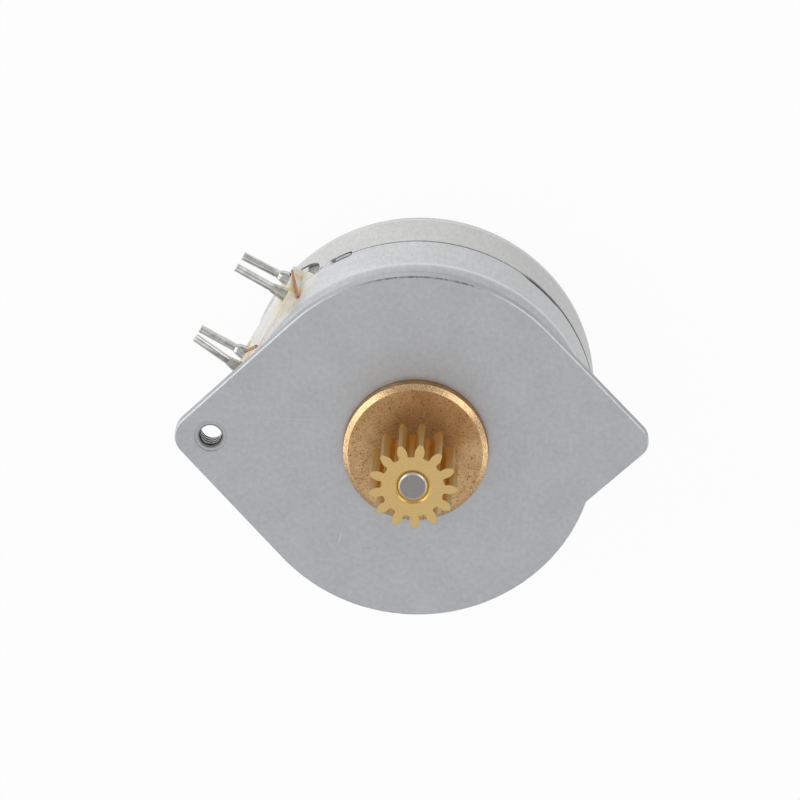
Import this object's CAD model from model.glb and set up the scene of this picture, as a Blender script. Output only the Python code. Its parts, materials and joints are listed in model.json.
import bmesh
import bpy
import collections
import functools
import itertools
import json
import math
from mathutils import Matrix, Vector, noise


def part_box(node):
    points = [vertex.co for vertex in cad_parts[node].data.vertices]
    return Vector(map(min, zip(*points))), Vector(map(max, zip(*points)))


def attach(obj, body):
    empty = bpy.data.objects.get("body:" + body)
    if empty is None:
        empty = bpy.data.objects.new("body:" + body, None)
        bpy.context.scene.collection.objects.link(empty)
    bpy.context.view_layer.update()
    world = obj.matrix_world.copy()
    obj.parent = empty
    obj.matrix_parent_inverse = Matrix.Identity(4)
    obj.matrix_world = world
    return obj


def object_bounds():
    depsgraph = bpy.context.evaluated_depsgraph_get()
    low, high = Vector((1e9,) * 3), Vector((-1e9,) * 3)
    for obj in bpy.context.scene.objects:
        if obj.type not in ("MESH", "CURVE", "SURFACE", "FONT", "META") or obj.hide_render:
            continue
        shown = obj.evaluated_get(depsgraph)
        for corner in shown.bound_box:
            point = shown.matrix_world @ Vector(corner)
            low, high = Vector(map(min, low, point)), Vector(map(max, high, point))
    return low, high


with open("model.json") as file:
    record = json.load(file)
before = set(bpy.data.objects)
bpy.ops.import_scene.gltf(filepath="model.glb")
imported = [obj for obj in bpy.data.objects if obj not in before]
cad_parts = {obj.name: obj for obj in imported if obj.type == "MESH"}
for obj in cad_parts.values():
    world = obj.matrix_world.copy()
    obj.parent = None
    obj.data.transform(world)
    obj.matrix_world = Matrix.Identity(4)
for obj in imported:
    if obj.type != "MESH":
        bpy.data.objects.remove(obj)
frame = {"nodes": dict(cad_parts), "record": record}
cad_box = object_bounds()
nodes = frame["nodes"]

MM = 0.001

# Places that the pieces and materials share, in millimetres in the part's frame
MOUNTS = {mount["name"]: mount for mount in frame["record"]["mounts"]}
SEAM_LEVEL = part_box("front_inner_yoke")[0][2] / MM
CAN_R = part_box("front_can")[1][0] / MM
COLLAR_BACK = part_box("mounting_flange")[0][2] / MM
EAR_HOLE = Vector(MOUNTS["ear_hole"]["pos_m"]) / MM
EAR_HOLE_R = MOUNTS["ear_hole"]["dims"]["r_mm"]

# The terminal blocks: their heading, and where the four pins leave them
TERMINAL_HEADING = math.radians(153.0)
TERMINAL_AHEAD = Vector((math.cos(TERMINAL_HEADING), math.sin(TERMINAL_HEADING), 0))
TERMINAL_ASIDE = Vector((-TERMINAL_AHEAD.y, TERMINAL_AHEAD.x, 0))
PIN_FOOT_R = 12.55
PIN_HALF_SPACING = 3.18
PIN_HALF_RISE = 1.83
PIN_FEET = [
    TERMINAL_AHEAD * PIN_FOOT_R
    + TERMINAL_ASIDE * PIN_HALF_SPACING * side
    + Vector((0, 0, SEAM_LEVEL + PIN_HALF_RISE * level))
    for side, level in itertools.product((1, -1), (1, -1))
]

# The gap that each terminal block leaves at one end of the window, the rear one above, the front one below
WINDOW_HALF_WIDTH = 5.46
WINDOW_CORNER_R = 3.8
WINDOW_CORNER_START = 0.7
BLOCK_END = 4.2
GAP_DEPTH = 3.4
GAP_CLEARANCE = 0.05
LIP_WIDTH = 0.85
LIP_DEPTH = 2.6
LIP_END = 2.3

# The small plates that stand in each gap
PLATE_THICKNESS = 0.3
PLATE_LUMP = 0.3
PLATE_ROWS = 16
PLATE_COLUMNS = 10
STAMPED_R = 12.2
STAMPED_UNEVENNESS = 0.12
LIP_R = 12.4
LIP_UNEVENNESS = 0.01

# The thread of the ear's hole. It tapers out over a share of its way at both ends, and each corner of its
# profile has a lift in pitches and a share of the crest.
THREAD_PITCH = 0.4
THREAD_CREST = 0.09
THREAD_SINK = 0.01
THREAD_TOP = -0.35
THREAD_END_GAP = 0.1
THREAD_BACK = COLLAR_BACK + THREAD_END_GAP
THREAD_RUNOUT = 1 / 6
THREAD_STEPS_PER_TURN = 36
THREAD_PROFILE = ((0.45, 0.0), (0.08, 1.0), (-0.08, 1.0), (-0.45, 0.0))
THREAD_WELD = 0.0001

# The photograph's camera: turns in degrees, lengths in millimetres, focal length in picture widths
CAMERA_TILT = 19.2148
CAMERA_SWING = -1.7384
CAMERA_ROLL = -2.9539
CAMERA_ASIDE = (1.0828, -3.3409)
CAMERA_DISTANCE = 267.085
CAMERA_FOCAL = 4.83585
CAMERA_NEAREST = 10.0

# The floor: its place in millimetres, its paint, and how white it is to the camera and in reflections
FLOOR_GAP = 0.02
FLOOR_LEVEL = cad_box[0][2] / MM - FLOOR_GAP
FLOOR_REACH = 1500.0
FLOOR_COLOUR = (0.9, 0.9, 0.9, 1.0)
FLOOR_ROUGHNESS = 0.9
FLOOR_GLOW = 1.0
FLOOR_SEEN = 0.95
FLOOR_REFLECTED = 0.7

# The light from all round: its strength at two heights, from the horizon to overhead
SKY_COLOUR = (0.97, 0.985, 1.0, 1.0)
SKY_HEIGHTS = (0.1, 0.8)
SKY_STRENGTHS = (0.35, 0.62)
WHITE = (1.0, 1.0, 1.0, 1.0)

# The lamps: name, place and size in metres, power in watts
LAMPS = (
    ("left_box", (-0.45, 0.21, 0.16), 0.40, 0.74),
    ("right_box", (0.38, 0.32, 0.14), 0.34, 0.42),
    ("top_box", (0.0, -0.2, 0.5), 0.5, 0.28),
    ("low_left_box", (-0.45, -0.14, 0.07), 0.26, 0.28),
    ("low_right_box", (0.45, -0.14, 0.07), 0.26, 0.2),
)

# Levels that most of a noise keeps between, and the rays that look for rounded edges
NOISE_RANGE = (0.3, 0.7)
EDGE_SAMPLES = 4


class Nodes:
    """A node tree, with short ways to add nodes and to link them."""

    def __init__(self, owner):
        owner.use_nodes = True
        self.tree = owner.node_tree

    def add(self, kind, **settings):
        node = self.tree.nodes.new(kind)
        for name, value in settings.items():
            setattr(node, name, value)
        return node

    def feed(self, socket, value):
        """Links an output to a socket, or writes a plain value to it."""
        if isinstance(value, bpy.types.NodeSocket):
            self.tree.links.new(value, socket)
        else:
            socket.default_value = value

    def math(self, operation, first, second=0.0):
        node = self.add("ShaderNodeMath", operation=operation)
        self.feed(node.inputs[0], first)
        self.feed(node.inputs[1], second)
        return node.outputs[0]

    def largest(self, *sources):
        return functools.reduce(functools.partial(self.math, "MAXIMUM"), sources)

    def times(self, *factors):
        return functools.reduce(functools.partial(self.math, "MULTIPLY"), factors)

    def total(self, *parts):
        """The sum of some sources, each given after its weight."""
        weighted = [self.times(source, weight) for weight, source in parts]
        return functools.reduce(functools.partial(self.math, "ADD"), weighted)

    def split(self, vector):
        node = self.add("ShaderNodeSeparateXYZ")
        self.feed(node.inputs[0], vector)
        return node.outputs

    def join(self, x, y, z):
        node = self.add("ShaderNodeCombineXYZ")
        for socket, value in zip(node.inputs, (x, y, z)):
            self.feed(socket, value)
        return node.outputs[0]

    def span(self, source, low, high, start=0.0, end=1.0):
        """The source's range from start to end, laid out from low to high."""
        node = self.add("ShaderNodeMapRange")
        self.feed(node.inputs["Value"], source)
        limits = {"From Min": start, "From Max": end, "To Min": low, "To Max": high}
        for socket, value in limits.items():
            node.inputs[socket].default_value = value
        return node.outputs["Result"]

    def show(self, output, share, first, second):
        """Links a blend of two shaders to the tree's output."""
        blend = self.add("ShaderNodeMixShader")
        for socket, value in zip(blend.inputs, (share, first, second)):
            self.feed(socket, value)
        self.feed(self.tree.nodes[output].inputs["Surface"], blend.outputs[0])


class Shader(Nodes):
    """A material whose Principled shader is fed by textures in the part's own coordinates."""

    def __init__(self, name, **constants):
        self.material = bpy.data.materials.new(name)
        super().__init__(self.material)
        self.principled = self.tree.nodes["Principled BSDF"]
        for socket, value in constants.items():
            self.principled.inputs[socket.replace("_", " ")].default_value = value
        self.place = self.add("ShaderNodeTexCoord").outputs["Object"]

    def set(self, name, value):
        self.feed(self.principled.inputs[name], value)

    def noise(self, size, detail=3.0, roughness=0.55, where=None):
        """Soft noise whose lumps are about this many millimetres wide."""
        node = self.add("ShaderNodeTexNoise")
        self.feed(node.inputs["Vector"], self.place if where is None else where)
        node.inputs["Scale"].default_value = 1 / (size * MM)
        node.inputs["Detail"].default_value = detail
        node.inputs["Roughness"].default_value = roughness
        return node.outputs["Fac"]

    def ramp(self, source, tones):
        """A colour for each level of the source, blended between the tones."""
        node = self.add("ShaderNodeValToRGB")
        self.feed(node.inputs[0], source)
        marks = node.color_ramp.elements
        while len(marks) < len(tones):
            marks.new(1.0)
        for mark, (level, colour) in zip(marks, tones):
            mark.position = level
            mark.color = (*colour, 1.0)
        return node.outputs["Color"]

    def mix(self, share, first, second):
        """A blend of two colours: the first where the share is zero, the second where it is one."""
        node = self.add("ShaderNodeMix", data_type="RGBA")
        self.feed(node.inputs["Factor"], share)
        colours = [socket for socket in node.inputs if socket.type == "RGBA"]
        for socket, value in zip(colours, (first, second)):
            self.feed(socket, value if isinstance(value, bpy.types.NodeSocket) else (*value, 1.0))
        return next(socket for socket in node.outputs if socket.type == "RGBA")

    def vary(self, source, low, high):
        """From low to high over the usual levels of a noise."""
        return self.span(source, low, high, *NOISE_RANGE)

    def edge(self, source, start, end, most=1.0, least=0.0):
        """From least at the start to most at the end, in millimetres; the start may be the larger one."""
        return self.span(source, least, most, start * MM, end * MM)

    def band(self, source, rise, fall, most=1.0):
        """Most between a rise and a fall, zero outside; each is a start and an end in millimetres."""
        return self.times(self.edge(source, *rise, most), self.edge(source, *reversed(fall)))

    def xyz(self):
        """The place on the part, in metres."""
        return self.split(self.place)

    def turn_and_reach(self):
        """The angle about the shaft in radians, the distance from it and the height, in metres."""
        x, y, z = self.xyz()
        reach = self.math("SQRT", self.math("ADD", self.times(x, x), self.times(y, y)))
        return self.math("ARCTAN2", y, x), reach, z

    def turned(self, x, y, turn):
        """A place given along and across a line at this angle in radians."""
        cosine, sine = math.cos(turn), math.sin(turn)
        return self.total((cosine, x), (sine, y)), self.total((cosine, y), (-sine, x))

    def distance(self, place, point):
        """How far, in metres, a place lies from a point that is given in millimetres."""
        node = self.add("ShaderNodeVectorMath", operation="DISTANCE")
        self.feed(node.inputs[0], place)
        node.inputs[1].default_value = Vector(point) * MM
        return node.outputs["Value"]

    def near(self, point, radius):
        """One at a point, falling to zero at the radius, both in millimetres."""
        return self.edge(self.distance(self.place, point), radius, 0.0)

    def from_ear_hole(self):
        """The distance from the axis of the ear's hole, in metres."""
        x, y, _ = self.xyz()
        return self.distance(self.join(x, y, 0.0), (EAR_HOLE.x, EAR_HOLE.y, 0.0))

    def facing(self, normal):
        """How squarely the surface faces along the shaft, from zero to one."""
        surface = self.add("ShaderNodeNewGeometry")
        return self.math("ABSOLUTE", self.split(surface.outputs[normal])[2])

    def relief(self, height, depth, edge=0.0):
        """Bumps this many millimetres deep, on edges that look rounded to the given radius."""
        bump = self.add("ShaderNodeBump")
        bump.inputs["Distance"].default_value = depth * MM
        self.feed(bump.inputs["Height"], height)
        if edge:
            bevel = self.add("ShaderNodeBevel", samples=EDGE_SAMPLES)
            bevel.inputs["Radius"].default_value = edge * MM
            self.feed(bump.inputs["Normal"], bevel.outputs["Normal"])
        self.set("Normal", bump.outputs["Normal"])


# Mounting flange: colours, and where they start and end in millimetres
ZINC_TONES = (
    (0.34, (0.475, 0.483, 0.498)),
    (0.5, (0.538, 0.544, 0.558)),
    (0.66, (0.598, 0.603, 0.615)),
)
ZINC_TORN = (0.24, 0.25, 0.27)
ZINC_WALL = (0.20, 0.20, 0.21)
ZINC_PRESSED = (0.12, 0.115, 0.11)
FLANGE_BEVEL_BACK = (-0.14, -0.10)
FLANGE_BEVEL_FRONT = (-0.02, -0.005)
FLANGE_BEVEL_POLISH = 0.12
FLANGE_TORN_ABOVE = (11.7, 12.1)
FLANGE_TORN_LEVELS = (0.40, 0.60)
FLANGE_WALL_TOP = (-0.12, -0.16)
FLANGE_WALL_SIDE = (-2.0, 5.0)
FLANGE_WALL_SHADE = 0.35
PRESSED_RING = (1.16, 1.1)
PRESSED_SHADE = 0.2
HOLE_MOUTH = (0.95, 0.86)
HOLE_MOUTH_SHADE = 0.7

# Marks on the flange: middle, direction in degrees, length, strength and colour
SCRATCH_WIDTH = 0.05
SCRATCH_FULL_SHARE = 0.6
SCRATCHES = (
    ((-4.9, -6.9), 84, 0.9, 0.5, (0.95, 0.95, 0.95)),
    ((-3.0, -7.6), 3, 0.8, 0.4, (0.25, 0.26, 0.28)),
    ((-8.9, 1.6), 1, 3.2, 0.2, (0.9, 0.9, 0.9)),
)


def scratch(look, middle, direction, length):
    """One along a short straight mark on the flange's face, zero elsewhere."""
    x, y, _ = look.xyz()
    away_x = look.math("SUBTRACT", x, middle[0] * MM)
    away_y = look.math("SUBTRACT", y, middle[1] * MM)
    along, across = look.turned(away_x, away_y, math.radians(direction))
    half = length / 2
    on_length = look.edge(look.math("ABSOLUTE", along), half, SCRATCH_FULL_SHARE * half)
    on_width = look.edge(look.math("ABSOLUTE", across), SCRATCH_WIDTH, 0.0)
    return look.times(on_length, on_width)


def flange_marks(look, colour):
    """Adds the handling marks and the rings round the ear's hole to the flange's colour."""
    for middle, direction, length, strength, shade in SCRATCHES:
        mark = look.times(scratch(look, middle, direction, length), strength)
        colour = look.mix(mark, colour, shade)
    from_hole = look.from_ear_hole()
    pressed = look.edge(from_hole, *PRESSED_RING, PRESSED_SHADE)
    mouth = look.edge(from_hole, *HOLE_MOUTH, HOLE_MOUTH_SHADE)
    return look.mix(look.largest(pressed, mouth), colour, ZINC_PRESSED)


def flange_steel():
    """Matte zinc-plated sheet, evenly mottled, with a torn edge at the top and a few handling marks."""
    look = Shader("flange_steel", Metallic=1.0)
    clouds = look.noise(size=3.0, detail=4.0)
    mottle = look.noise(size=0.35)
    grain = look.noise(size=0.1, detail=2.0)
    colour = look.ramp(look.total((0.3, clouds), (0.4, mottle), (0.3, grain)), ZINC_TONES)
    x, y, level = look.xyz()
    on_bevel = look.band(level, FLANGE_BEVEL_BACK, FLANGE_BEVEL_FRONT)
    ragged = look.span(look.noise(size=0.3), 1.0, 0.0, *FLANGE_TORN_LEVELS)
    torn = look.times(on_bevel, look.edge(y, *FLANGE_TORN_ABOVE), ragged)
    colour = look.mix(torn, colour, ZINC_TORN)
    shaded_side = look.edge(x, *FLANGE_WALL_SIDE, FLANGE_WALL_SHADE)
    on_wall = look.times(look.edge(level, *FLANGE_WALL_TOP), shaded_side)
    colour = look.mix(on_wall, colour, ZINC_WALL)
    look.set("Base Color", flange_marks(look, colour))
    matte = look.vary(grain, low=0.46, high=0.6)
    look.set("Roughness", look.total((1.0, matte), (-FLANGE_BEVEL_POLISH, on_bevel)))
    look.relief(look.math("ADD", grain, mottle), depth=0.006, edge=0.03)
    return look.material


# Cans and rear cover: colours, and where they start and end in millimetres from the seam or along X
FRONT_CAN_TONES = ((0.36, (0.64, 0.648, 0.656)), (0.64, (0.84, 0.845, 0.85)))
REAR_CAN_TONES = ((0.36, (0.64, 0.64, 0.63)), (0.64, (0.84, 0.84, 0.825)))
CAN_TARNISH = (0.05, 0.05, 0.05)
CAN_CORNER = (0.25, 0.26, 0.28)
CAN_BURNISHED = (0.86, 0.86, 0.86)
CAN_RIM = (0.10, 0.10, 0.10)
DRAW_STRETCH = 0.3
TARNISH_SIDE = (-5.0, 7.0)
TARNISH_SHADE = 0.28
CORNER_START = (5.5, 5.9)
CORNER_SHADE = 0.26
BURNISHED_RISE = (5.0, 5.2)
BURNISHED_FALL = (5.4, 5.6)
BURNISHED_SHARE = 0.45
RIM_WIDTH = (0.13, 0.09)
RIM_SIDE = (-4.0, 3.0)
RIM_LEFT_SHADE = 0.35
RIM_RIGHT_SHADE = 0.8
WIDE_RIM_WIDTH = (0.4, 0.28)
WIDE_RIM_SIDE = (6.6, 7.4)
WIDE_RIM_SHADE = 0.9


def can_shades(look, colour, side, height):
    """Adds the tarnish, the dull corner, the burnished line and the dark rim to a can's colour."""
    from_seam = look.math("ABSOLUTE", look.math("SUBTRACT", height, SEAM_LEVEL * MM))
    rim = look.times(look.edge(from_seam, *RIM_WIDTH),
                     look.edge(side, *RIM_SIDE, RIM_RIGHT_SHADE, RIM_LEFT_SHADE))
    wide_rim = look.times(look.edge(from_seam, *WIDE_RIM_WIDTH),
                          look.edge(side, *WIDE_RIM_SIDE, WIDE_RIM_SHADE))
    shades = (
        (look.edge(side, *TARNISH_SIDE, TARNISH_SHADE), CAN_TARNISH),
        (look.edge(from_seam, *CORNER_START, CORNER_SHADE), CAN_CORNER),
        (look.band(from_seam, BURNISHED_RISE, BURNISHED_FALL, BURNISHED_SHARE), CAN_BURNISHED),
        (look.largest(rim, wide_rim), CAN_RIM),
    )
    for share, shade in shades:
        colour = look.mix(share, colour, shade)
    return colour


def can_steel(name, tones):
    """Satin drawn sheet: lines along the draw, a dull corner, a burnished line below it and a dark rim."""
    look = Shader(name, Metallic=1.0)
    turn, reach, height = look.turn_and_reach()
    draw = look.join(look.times(turn, CAN_R * MM), look.times(height, DRAW_STRETCH), reach)
    lines = look.noise(size=0.22, where=draw)
    clouds = look.noise(size=2.5, detail=4.0)
    grain = look.noise(size=0.1, detail=2.0)
    colour = look.ramp(look.total((0.35, clouds), (0.4, lines), (0.25, grain)), tones)
    side, _, _ = look.xyz()
    look.set("Base Color", can_shades(look, colour, side, height))
    look.set("Roughness", look.vary(clouds, low=0.34, high=0.46))
    look.relief(look.total((0.6, lines), (1.0, grain)), depth=0.006, edge=0.04)
    return look.material


# Inner yokes: colours, and where the bright tabs start in millimetres
YOKE_OILY_TONES = ((0.34, (0.07, 0.07, 0.07)), (0.66, (0.15, 0.15, 0.145)))
YOKE_BRIGHT_TONES = ((0.34, (0.54, 0.54, 0.53)), (0.66, (0.68, 0.68, 0.67)))
TAB_START_R = (12.1, 12.3)
TAB_SEAM_FADE = 0.05


def yoke_steel():
    """Stamped sheet, dark with oil, and rubbed bright on the rear tabs that reach out through the slots."""
    look = Shader("yoke_steel", Metallic=1.0)
    _, reach, height = look.turn_and_reach()
    clouds = look.noise(size=0.8, detail=4.0)
    oily = look.ramp(clouds, YOKE_OILY_TONES)
    bright = look.ramp(clouds, YOKE_BRIGHT_TONES)
    on_tab = look.edge(reach, *TAB_START_R)
    behind_seam = look.edge(height, SEAM_LEVEL, SEAM_LEVEL - TAB_SEAM_FADE)
    look.set("Base Color", look.mix(look.times(on_tab, behind_seam), oily, bright))
    look.set("Roughness", look.vary(clouds, low=0.36, high=0.5))
    look.relief(look.noise(size=0.1, detail=2.0), depth=0.004, edge=0.04)
    return look.material


# Bearings: colours, the oil stain in millimetres, and how the cut chamfer faces
BRONZE_TONES = (
    (0.37, (0.42, 0.235, 0.10)),
    (0.5, (0.60, 0.375, 0.18)),
    (0.63, (0.77, 0.53, 0.285)),
)
BRONZE_CUT_TONES = ((0.36, (0.70, 0.40, 0.19)), (0.6, (0.97, 0.69, 0.39)))
BRONZE_OILED = (0.46, 0.19, 0.05)
BRONZE_PORE = (0.17, 0.085, 0.04)
PORE_LEVELS = (0.565, 0.68)
PORE_SHADE = 0.8
PORE_DEPTH = 0.6
OIL_STAIN = (1.1, 2.6, 1.15)
OIL_STAIN_R = 4.0
OIL_SHADE = 0.45
OIL_FULL = 0.6
CHAMFER_FACING_RISE = (0.4, 0.6)
CHAMFER_FACING_FALL = (0.8, 0.95)
CHAMFER_POLISH = 0.22


def sintered_bronze():
    """Pressed bronze powder: copper-tan grains with fine dark pores, bright where a tool has cut it."""
    look = Shader("sintered_bronze", Metallic=1.0)
    grains = look.noise(size=0.13, detail=4.0, roughness=0.7)
    pores = look.span(look.noise(size=0.15, roughness=0.7), 0.0, PORE_SHADE, *PORE_LEVELS)
    clouds = look.noise(size=2.0)
    body = look.ramp(look.total((0.45, clouds), (0.55, grains)), BRONZE_TONES)
    oil = look.span(look.near(OIL_STAIN, OIL_STAIN_R), 0.0, OIL_SHADE, end=OIL_FULL)
    body = look.mix(oil, body, BRONZE_OILED)
    body = look.mix(pores, body, BRONZE_PORE)
    facing = look.facing("True Normal")
    chamfer = look.times(look.span(facing, 0.0, 1.0, *CHAMFER_FACING_RISE),
                         look.span(facing, 1.0, 0.0, *CHAMFER_FACING_FALL))
    look.set("Base Color", look.mix(chamfer, body, look.ramp(grains, BRONZE_CUT_TONES)))
    matte = look.vary(grains, low=0.40, high=0.58)
    look.set("Roughness", look.total((1.0, matte), (-CHAMFER_POLISH, chamfer)))
    look.relief(look.total((1.0, grains), (-PORE_DEPTH, pores)), depth=0.015, edge=0.04)
    return look.material


# Pinion: colours, how its ends face, and where its teeth turn pale in millimetres
BRASS_END_TONES = ((0.3, (0.61, 0.41, 0.155)), (0.7, (0.76, 0.555, 0.245)))
BRASS_VALLEY_TONES = ((0.3, (0.68, 0.43, 0.11)), (0.7, (0.86, 0.58, 0.20)))
BRASS_TIP_TONES = ((0.3, (0.70, 0.52, 0.22)), (0.7, (0.86, 0.68, 0.34)))
PINION_END_FACING = (0.75, 0.95)
TOOTH_TIP_R = (2.3, 2.85)
CUTTER_STRETCH = 0.1


def pinion_brass():
    """Hobbed brass: pale matte ends with turning rings, and warmer flanks with lengthwise cutter marks."""
    look = Shader("pinion_brass", Metallic=1.0)
    turn, reach, height = look.turn_and_reach()
    rings = look.noise(size=0.06, where=look.join(reach, 0.0, 0.0))
    marks = look.noise(size=0.12, where=look.join(turn, reach, look.times(height, CUTTER_STRETCH)))
    grain = look.noise(size=0.1)
    on_end = look.span(look.facing("Normal"), 0.0, 1.0, *PINION_END_FACING)
    end = look.ramp(look.total((0.3, rings), (0.7, grain)), BRASS_END_TONES)
    wear = look.total((0.4, marks), (0.6, grain))
    valley = look.ramp(wear, BRASS_VALLEY_TONES)
    tip = look.ramp(wear, BRASS_TIP_TONES)
    flank = look.mix(look.edge(reach, *TOOTH_TIP_R), valley, tip)
    look.set("Base Color", look.mix(on_end, flank, end))
    look.set("Roughness", look.span(on_end, low=0.30, high=0.46))
    look.relief(look.total((0.6, rings), (1.0, grain)), depth=0.004, edge=0.03)
    return look.material


# Shaft: colours, where its bright rim starts in millimetres, and its rings' drift in metres per radian
SHAFT_TONES = ((0.32, (0.23, 0.215, 0.21)), (0.68, (0.31, 0.29, 0.285)))
SHAFT_RIM = (0.80, 0.79, 0.80)
SHAFT_RIM_R = (0.84, 0.9)
GRINDING_DRIFT = 0.00002


def shaft_steel():
    """Ground steel rod with rings from grinding and a cut end."""
    look = Shader("shaft_steel", Metallic=1.0)
    turn, reach, height = look.turn_and_reach()
    rings = look.noise(size=0.05, where=look.join(reach, look.times(turn, GRINDING_DRIFT), height))
    grain = look.noise(size=0.12)
    steel = look.ramp(look.total((0.4, rings), (0.6, grain)), SHAFT_TONES)
    look.set("Base Color", look.mix(look.edge(reach, *SHAFT_RIM_R), steel, SHAFT_RIM))
    look.set("Roughness", look.vary(grain, low=0.26, high=0.42))
    look.relief(rings, depth=0.002, edge=0.03)
    return look.material


# Bobbins: colours, and how far the flux has spread from each pin in millimetres
FRONT_PLASTIC_TONES = ((0.35, (0.91, 0.87, 0.78)), (0.65, (0.94, 0.915, 0.86)))
REAR_PLASTIC_TONES = ((0.35, (0.92, 0.90, 0.85)), (0.65, (0.95, 0.945, 0.92)))
FLUX_STAIN = (0.84, 0.66, 0.20)
FRONT_FLUX_R = 1.9
REAR_FLUX_R = 1.6
FLUX_FULL = 0.5
FLUX_THINNEST = 0.25
FLUX_LEVELS = (0.38, 0.6)


def bobbin_plastic(name, tones, flux_r):
    """Moulded plastic, a little translucent, stained by flux round the feet of the pins."""
    look = Shader(name, Specular_IOR_Level=0.45, Subsurface_Weight=0.15, Subsurface_Scale=0.0008,
                  Subsurface_Radius=(1.0, 0.8, 0.5))
    clouds = look.noise(size=2.2)
    grain = look.noise(size=0.12, detail=2.0)
    colour = look.ramp(clouds, tones)
    stain = look.largest(*(look.near(foot, flux_r) for foot in PIN_FEET))
    soaked = look.span(stain, 0.0, 1.0, end=FLUX_FULL)
    patchy = look.times(soaked, look.span(look.noise(size=0.6), FLUX_THINNEST, 1.0, *FLUX_LEVELS))
    look.set("Base Color", look.mix(patchy, colour, FLUX_STAIN))
    look.set("Roughness", look.vary(clouds, low=0.40, high=0.55))
    look.relief(grain, depth=0.004, edge=0.06)
    return look.material


# Pins: colours, and how far the drawn lines are stretched along them
TIN_TONES = ((0.32, (0.50, 0.49, 0.47)), (0.68, (0.78, 0.77, 0.745)))
PIN_STRETCH = 0.05


def pin_tin():
    """Tinned wire, smooth and bright, a little blotched where the tin has thinned."""
    look = Shader("pin_tin", Metallic=1.0)
    x, y, z = look.xyz()
    along, across = look.turned(x, y, TERMINAL_HEADING)
    lines = look.noise(size=0.2, where=look.join(look.times(along, PIN_STRETCH), across, z))
    blotches = look.noise(size=0.6)
    look.set("Base Color", look.ramp(look.total((0.15, lines), (0.85, blotches)), TIN_TONES))
    look.set("Roughness", look.vary(blotches, low=0.10, high=0.2))
    look.relief(blotches, depth=0.004, edge=0.04)
    return look.material


# Solder joints: colours, the flux skin, and the width in millimetres of the change from rear to front
SOLDER_TONES = ((0.3, (0.56, 0.555, 0.53)), (0.7, (0.74, 0.735, 0.71)))
SOLDER_SKIN = (0.44, 0.42, 0.26)
SKIN_LEVELS = (0.4, 0.62)
SKIN_SHADE = 0.75
FRONT_DULLNESS = 0.1
FRONT_FADE = 0.1


def solder():
    """Solder: bright beads on the rear pins, and duller cones under olive flux on the front ones."""
    look = Shader("solder", Metallic=1.0)
    ripples = look.noise(size=0.5, detail=2.0)
    fine = look.noise(size=0.15, detail=2.0)
    _, _, height = look.xyz()
    front = look.edge(height, SEAM_LEVEL - FRONT_FADE, SEAM_LEVEL + FRONT_FADE)
    patches = look.span(look.noise(size=0.6, detail=2.0), 0.0, SKIN_SHADE, *SKIN_LEVELS)
    metal = look.ramp(fine, SOLDER_TONES)
    look.set("Base Color", look.mix(look.times(front, patches), metal, SOLDER_SKIN))
    smooth = look.vary(ripples, low=0.1, high=0.24)
    look.set("Roughness", look.total((1.0, smooth), (FRONT_DULLNESS, front)))
    look.relief(look.total((1.0, ripples), (0.15, fine)), depth=0.06)
    return look.material


# Coils and their leads
VARNISH_TONES = ((0.35, (0.33, 0.06, 0.02)), (0.65, (0.76, 0.23, 0.06)))


def enamelled_copper():
    """Copper wire under a red-brown varnish that thins in places."""
    look = Shader("enamelled_copper", Metallic=0.6, Coat_Weight=0.2, Coat_Roughness=0.2)
    varnish = look.noise(size=0.3)
    look.set("Base Color", look.ramp(varnish, VARNISH_TONES))
    look.set("Roughness", look.vary(varnish, low=0.25, high=0.42))
    look.relief(varnish, depth=0.006)
    return look.material


# Pieces inside the motor: dark and pale shade, roughness, size of the mottle in millimetres, and their names
INNER_LOOKS = {
    "coil_tape": ((0.30, 0.30, 0.31), (0.46, 0.46, 0.47), 0.4, 0.8, ("front_coil_tape", "rear_coil_tape")),
    "ferrite": ((0.06, 0.06, 0.065), (0.13, 0.13, 0.135), 0.5, 1.0, ("rotor_magnet",)),
    "hub_plastic": ((0.12, 0.12, 0.125), (0.19, 0.19, 0.2), 0.5, 2.0, ("rotor_hub",)),
    "washer_plastic": ((0.84, 0.84, 0.80), (0.93, 0.93, 0.90), 0.4, 1.0,
                       ("front_thrust_washer", "rear_thrust_washer")),
}
INNER_LEVELS = (0.32, 0.68)
INNER_ROUGHNESS_SPREAD = 0.08
INNER_GRAINS_PER_CLOUD = 12


def plain_moulding(name, dark, pale, roughness, size):
    """A plain material for a piece inside the motor, with a mottled shade and a fine texture."""
    look = Shader(name)
    clouds = look.noise(size=size, detail=4.0)
    grain = look.noise(size=size / INNER_GRAINS_PER_CLOUD, detail=2.0)
    look.set("Base Color", look.ramp(clouds, tuple(zip(INNER_LEVELS, (dark, pale)))))
    look.set("Roughness", look.vary(grain, roughness - INNER_ROUGHNESS_SPREAD,
                                    roughness + INNER_ROUGHNESS_SPREAD))
    look.relief(grain, depth=0.01, edge=0.04)
    return look.material


# Thread of the ear's hole: colours, and how far from the wall the oil starts and is full, in millimetres
THREAD_TONES = ((0.35, (0.75, 0.75, 0.76)), (0.65, (0.98, 0.98, 0.98)))
THREAD_ROOT = (0.02, 0.02, 0.02)
THREAD_OIL_START = 0.07
THREAD_OIL_FULL = 0.04


def thread_steel():
    """Freshly cut thread: bright on the crests, dark with oil towards the roots."""
    look = Shader("thread_steel", Metallic=1.0)
    smear = look.noise(size=0.6, detail=2.0)
    root = look.edge(look.from_ear_hole(), EAR_HOLE_R - THREAD_OIL_START, EAR_HOLE_R - THREAD_OIL_FULL)
    look.set("Base Color", look.mix(root, look.ramp(smear, THREAD_TONES), THREAD_ROOT))
    look.set("Roughness", look.vary(smear, low=0.32, high=0.42))
    look.relief(smear, depth=0.003)
    return look.material


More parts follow.
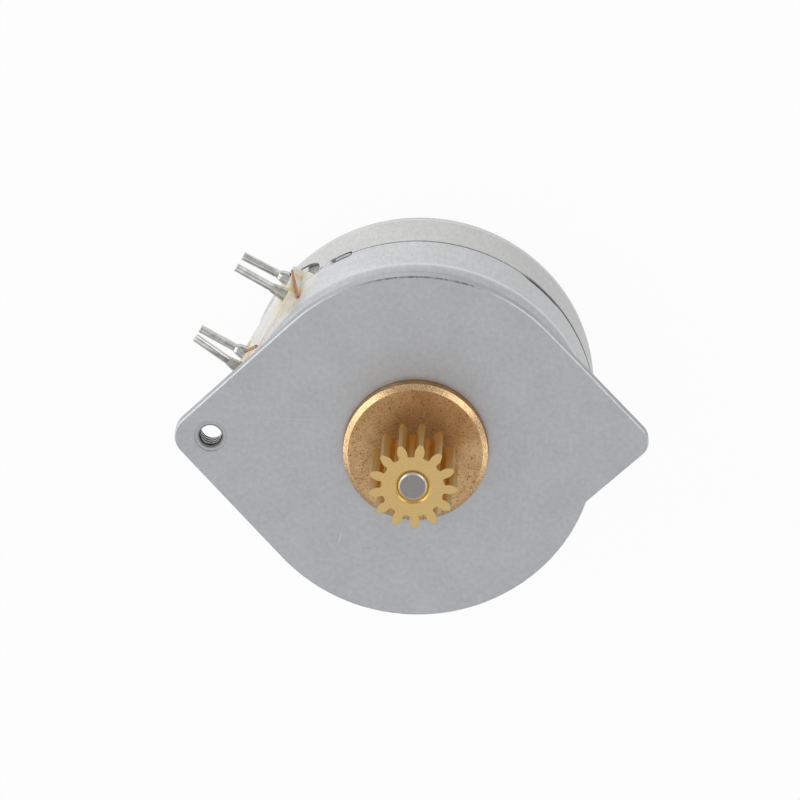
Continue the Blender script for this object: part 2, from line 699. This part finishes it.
# Stamped edges beside the terminal blocks
STAMPED_TONES = (
    (0.36, (0.13, 0.13, 0.125)),
    (0.5, (0.44, 0.435, 0.42)),
    (0.64, (0.62, 0.61, 0.59)),
)


def stamped_steel():
    """Torn edge of stamped sheet: gray, streaked, with dark folds."""
    look = Shader("stamped_steel", Metallic=0.15)
    folds = look.noise(size=0.35, detail=4.0, roughness=0.65)
    look.set("Base Color", look.ramp(folds, STAMPED_TONES))
    look.set("Roughness", look.vary(folds, low=0.45, high=0.65))
    look.relief(folds, depth=0.03)
    return look.material


def new_piece(name, mesh, material, smooth=False):
    """Turns a closed mesh into a piece that rides on the stator."""
    bmesh.ops.recalc_face_normals(mesh, faces=mesh.faces)
    data = bpy.data.meshes.new(name)
    mesh.to_mesh(data)
    mesh.free()
    for polygon in data.polygons:
        polygon.use_smooth = smooth
    data.materials.append(material)
    piece = bpy.data.objects.new(name, data)
    bpy.context.scene.collection.objects.link(piece)
    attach(piece, "stator")


def thread_corners(share, turns):
    """The corners of the thread's ridge at this share of its way down the hole, in metres."""
    angle = 2 * math.pi * turns * share
    level = THREAD_TOP + (THREAD_BACK - THREAD_TOP) * share
    fade = min(1.0, share / THREAD_RUNOUT, (1 - share) / THREAD_RUNOUT)
    corners = []
    for lift, reach in THREAD_PROFILE:
        radius = EAR_HOLE_R + THREAD_SINK - (THREAD_CREST + THREAD_SINK) * reach * fade
        corners.append(Vector((EAR_HOLE.x + radius * math.cos(angle), EAR_HOLE.y + radius * math.sin(angle),
                               level + lift * THREAD_PITCH * fade)) * MM)
    return corners


def ear_thread(material):
    """The thread of the ear's hole: one ridge that winds down the wall, tapering out at both ends."""
    turns = (THREAD_TOP - THREAD_BACK) / THREAD_PITCH
    steps = int(turns * THREAD_STEPS_PER_TURN)
    mesh = bmesh.new()
    rows = [[mesh.verts.new(corner) for corner in thread_corners(step / steps, turns)]
            for step in range(steps + 1)]
    corners = len(THREAD_PROFILE)
    for upper, lower in zip(rows, rows[1:]):
        for corner in range(corners):
            following = (corner + 1) % corners
            mesh.faces.new((upper[corner], upper[following], lower[following], lower[corner]))
    bmesh.ops.remove_doubles(mesh, verts=mesh.verts, dist=THREAD_WELD * MM)
    new_piece("ear_thread", mesh, material, smooth=True)


def window_edge(depth):
    """How far to the side the window's edge lies, at a depth away from the seam."""
    past = max(0.0, depth - WINDOW_CORNER_START)
    return WINDOW_HALF_WIDTH - WINDOW_CORNER_R + math.sqrt(WINDOW_CORNER_R ** 2 - past ** 2)


def lip_edge(depth):
    """How far to the side the moulded lip on the block's end reaches, at a depth away from the seam."""
    return BLOCK_END + LIP_WIDTH * max(0.0, 1 - depth / LIP_DEPTH)


def block_edge(_depth):
    """How far to the side the block itself reaches, the same at every depth."""
    return BLOCK_END


# A plate's two sides at each depth, its depth, its outer radius and the height of its lumps
PlateShape = collections.namedtuple("PlateShape", "near far deepest outside_r unevenness")
STAMPED_EDGE = PlateShape(lip_edge, window_edge, GAP_DEPTH, STAMPED_R, STAMPED_UNEVENNESS)
BLOCK_LIP = PlateShape(block_edge, lip_edge, LIP_END, LIP_R, LIP_UNEVENNESS)


def plate_skins(mesh, shape, half):
    """The corners of a plate's outer and inner skin, by row and column."""
    skins = ({}, {})
    for row, column in itertools.product(range(PLATE_ROWS + 1), range(PLATE_COLUMNS + 1)):
        depth = GAP_CLEARANCE + (shape.deepest - GAP_CLEARANCE) * row / PLATE_ROWS
        near = shape.near(depth)
        side = near + (shape.far(depth) - GAP_CLEARANCE - near) * column / PLATE_COLUMNS
        lump = noise.noise(Vector((side, depth, 0)) / PLATE_LUMP)
        reaches = (shape.outside_r + shape.unevenness * lump, shape.outside_r - PLATE_THICKNESS)
        level = Vector((0, 0, SEAM_LEVEL + half * depth))
        for skin, reach in zip(skins, reaches):
            spot = TERMINAL_AHEAD * math.sqrt(reach ** 2 - side ** 2) + TERMINAL_ASIDE * half * side
            skin[row, column] = mesh.verts.new((spot + level) * MM)
    return skins


def plate_rim():
    """The row and column of each corner on a plate's rim, once round."""
    return ([(0, column) for column in range(PLATE_COLUMNS)]
            + [(row, PLATE_COLUMNS) for row in range(PLATE_ROWS)]
            + [(PLATE_ROWS, column) for column in range(PLATE_COLUMNS, 0, -1)]
            + [(row, 0) for row in range(PLATE_ROWS, 0, -1)])


def gap_plate(name, shape, half, material):
    """A small uneven plate in the gap at the window's end, in the front half (1) or the rear half (-1)."""
    mesh = bmesh.new()
    outer, inner = plate_skins(mesh, shape, half)
    for skin in (outer, inner):
        for row, column in itertools.product(range(PLATE_ROWS), range(PLATE_COLUMNS)):
            corners = ((row, column), (row, column + 1), (row + 1, column + 1), (row + 1, column))
            mesh.faces.new([skin[corner] for corner in corners])
    rim = plate_rim()
    for here, there in zip(rim, rim[1:] + rim[:1]):
        mesh.faces.new((outer[here], outer[there], inner[there], inner[here]))
    new_piece(name, mesh, material)


def floor_paint():
    """Matte paint that shows white to the camera and in reflections, and keeps a soft shadow."""
    material = bpy.data.materials.new("floor")
    paint = Nodes(material)
    matte = paint.tree.nodes["Principled BSDF"]
    matte.inputs["Base Color"].default_value = FLOOR_COLOUR
    matte.inputs["Roughness"].default_value = FLOOR_ROUGHNESS
    glow = paint.add("ShaderNodeEmission")
    glow.inputs["Strength"].default_value = FLOOR_GLOW
    rays = paint.add("ShaderNodeLightPath").outputs
    seen = paint.times(rays["Is Camera Ray"], FLOOR_SEEN)
    reflected = paint.times(rays["Is Glossy Ray"], FLOOR_REFLECTED)
    paint.show("Material Output", paint.largest(seen, reflected), matte.outputs[0], glow.outputs[0])
    return material


def set_floor():
    """A wide pale floor just below the motor."""
    mesh = bpy.data.meshes.new("floor")
    corners = [(-FLOOR_REACH, -FLOOR_REACH), (FLOOR_REACH, -FLOOR_REACH),
               (FLOOR_REACH, FLOOR_REACH), (-FLOOR_REACH, FLOOR_REACH)]
    mesh.from_pydata([Vector((x, y, FLOOR_LEVEL)) * MM for x, y in corners], [], [(0, 1, 2, 3)])
    mesh.materials.append(floor_paint())
    floor = bpy.data.objects.new("floor", mesh)
    bpy.context.scene.collection.objects.link(floor)


def set_world():
    """Pale light that falls off towards the horizon, white where the camera looks past the floor."""
    world = bpy.data.worlds.new("studio")
    bpy.context.scene.world = world
    sky = Nodes(world)
    _, _, height = sky.split(sky.add("ShaderNodeTexCoord").outputs["Generated"])
    soft = sky.tree.nodes["Background"]
    soft.inputs["Color"].default_value = SKY_COLOUR
    sky.feed(soft.inputs["Strength"], sky.span(height, *SKY_STRENGTHS, *SKY_HEIGHTS))
    white = sky.add("ShaderNodeBackground")
    white.inputs["Color"].default_value = WHITE
    seen = sky.add("ShaderNodeLightPath").outputs["Is Camera Ray"]
    sky.show("World Output", seen, soft.outputs[0], white.outputs[0])


def softbox(name, place, size, power):
    """A large square lamp that faces the motor."""
    lamp = bpy.data.lights.new(name, "AREA")
    lamp.size = size
    lamp.energy = power
    holder = bpy.data.objects.new(name, lamp)
    bpy.context.scene.collection.objects.link(holder)
    holder.location = place
    holder.rotation_euler = Vector(place).to_track_quat("Z", "Y").to_euler()


def set_camera():
    """The camera fitted to the photograph."""
    turn = (Matrix.Rotation(math.radians(CAMERA_TILT), 3, "X")
            @ Matrix.Rotation(math.radians(CAMERA_SWING), 3, "Y")
            @ Matrix.Rotation(math.radians(CAMERA_ROLL), 3, "Z")).transposed()
    place = turn @ Vector((-CAMERA_ASIDE[0], -CAMERA_ASIDE[1], CAMERA_DISTANCE)) * MM
    lens = bpy.data.cameras.new("camera")
    lens.lens = CAMERA_FOCAL * lens.sensor_width
    lens.clip_start = CAMERA_NEAREST * MM
    camera = bpy.data.objects.new("camera", lens)
    bpy.context.scene.collection.objects.link(camera)
    camera.matrix_world = Matrix.Translation(place) @ turn.to_4x4()
    bpy.context.scene.camera = camera


def dress(material, *names):
    """Gives solids their material."""
    for name in names:
        slots = nodes[name].data.materials
        slots.clear()
        slots.append(material)


# Materials of the solids
dress(flange_steel(), "mounting_flange")
dress(can_steel("front_can_steel", FRONT_CAN_TONES), "front_can")
dress(can_steel("rear_can_steel", REAR_CAN_TONES), "rear_can", "rear_cover")
dress(yoke_steel(), "front_inner_yoke", "rear_inner_yoke")
dress(sintered_bronze(), "front_bearing", "rear_bearing")
dress(pinion_brass(), "pinion")
dress(shaft_steel(), "shaft")
dress(pin_tin(), "front_terminal_pins", "rear_terminal_pins")
dress(solder(), "solder_joints")
dress(enamelled_copper(), "coil_leads", "front_coil", "rear_coil")
for look_name, (*look_values, piece_names) in INNER_LOOKS.items():
    dress(plain_moulding(look_name, *look_values), *piece_names)

# The thread, and the bobbins with the small pieces at their ends
ear_thread(thread_steel())
torn_steel = stamped_steel()
for half_name, half, tones, flux_r in (
    ("front", 1, FRONT_PLASTIC_TONES, FRONT_FLUX_R),
    ("rear", -1, REAR_PLASTIC_TONES, REAR_FLUX_R),
):
    plastic = bobbin_plastic(half_name + "_bobbin_plastic", tones, flux_r)
    dress(plastic, half_name + "_bobbin")
    gap_plate(half_name + "_stamped_edge", STAMPED_EDGE, half, torn_steel)
    gap_plate(half_name + "_block_lip", BLOCK_LIP, half, plastic)

# Stage, light and camera
set_floor()
set_world()
for lamp_values in LAMPS:
    softbox(*lamp_values)
set_camera()
bpy.context.scene.view_settings.view_transform = "Standard"
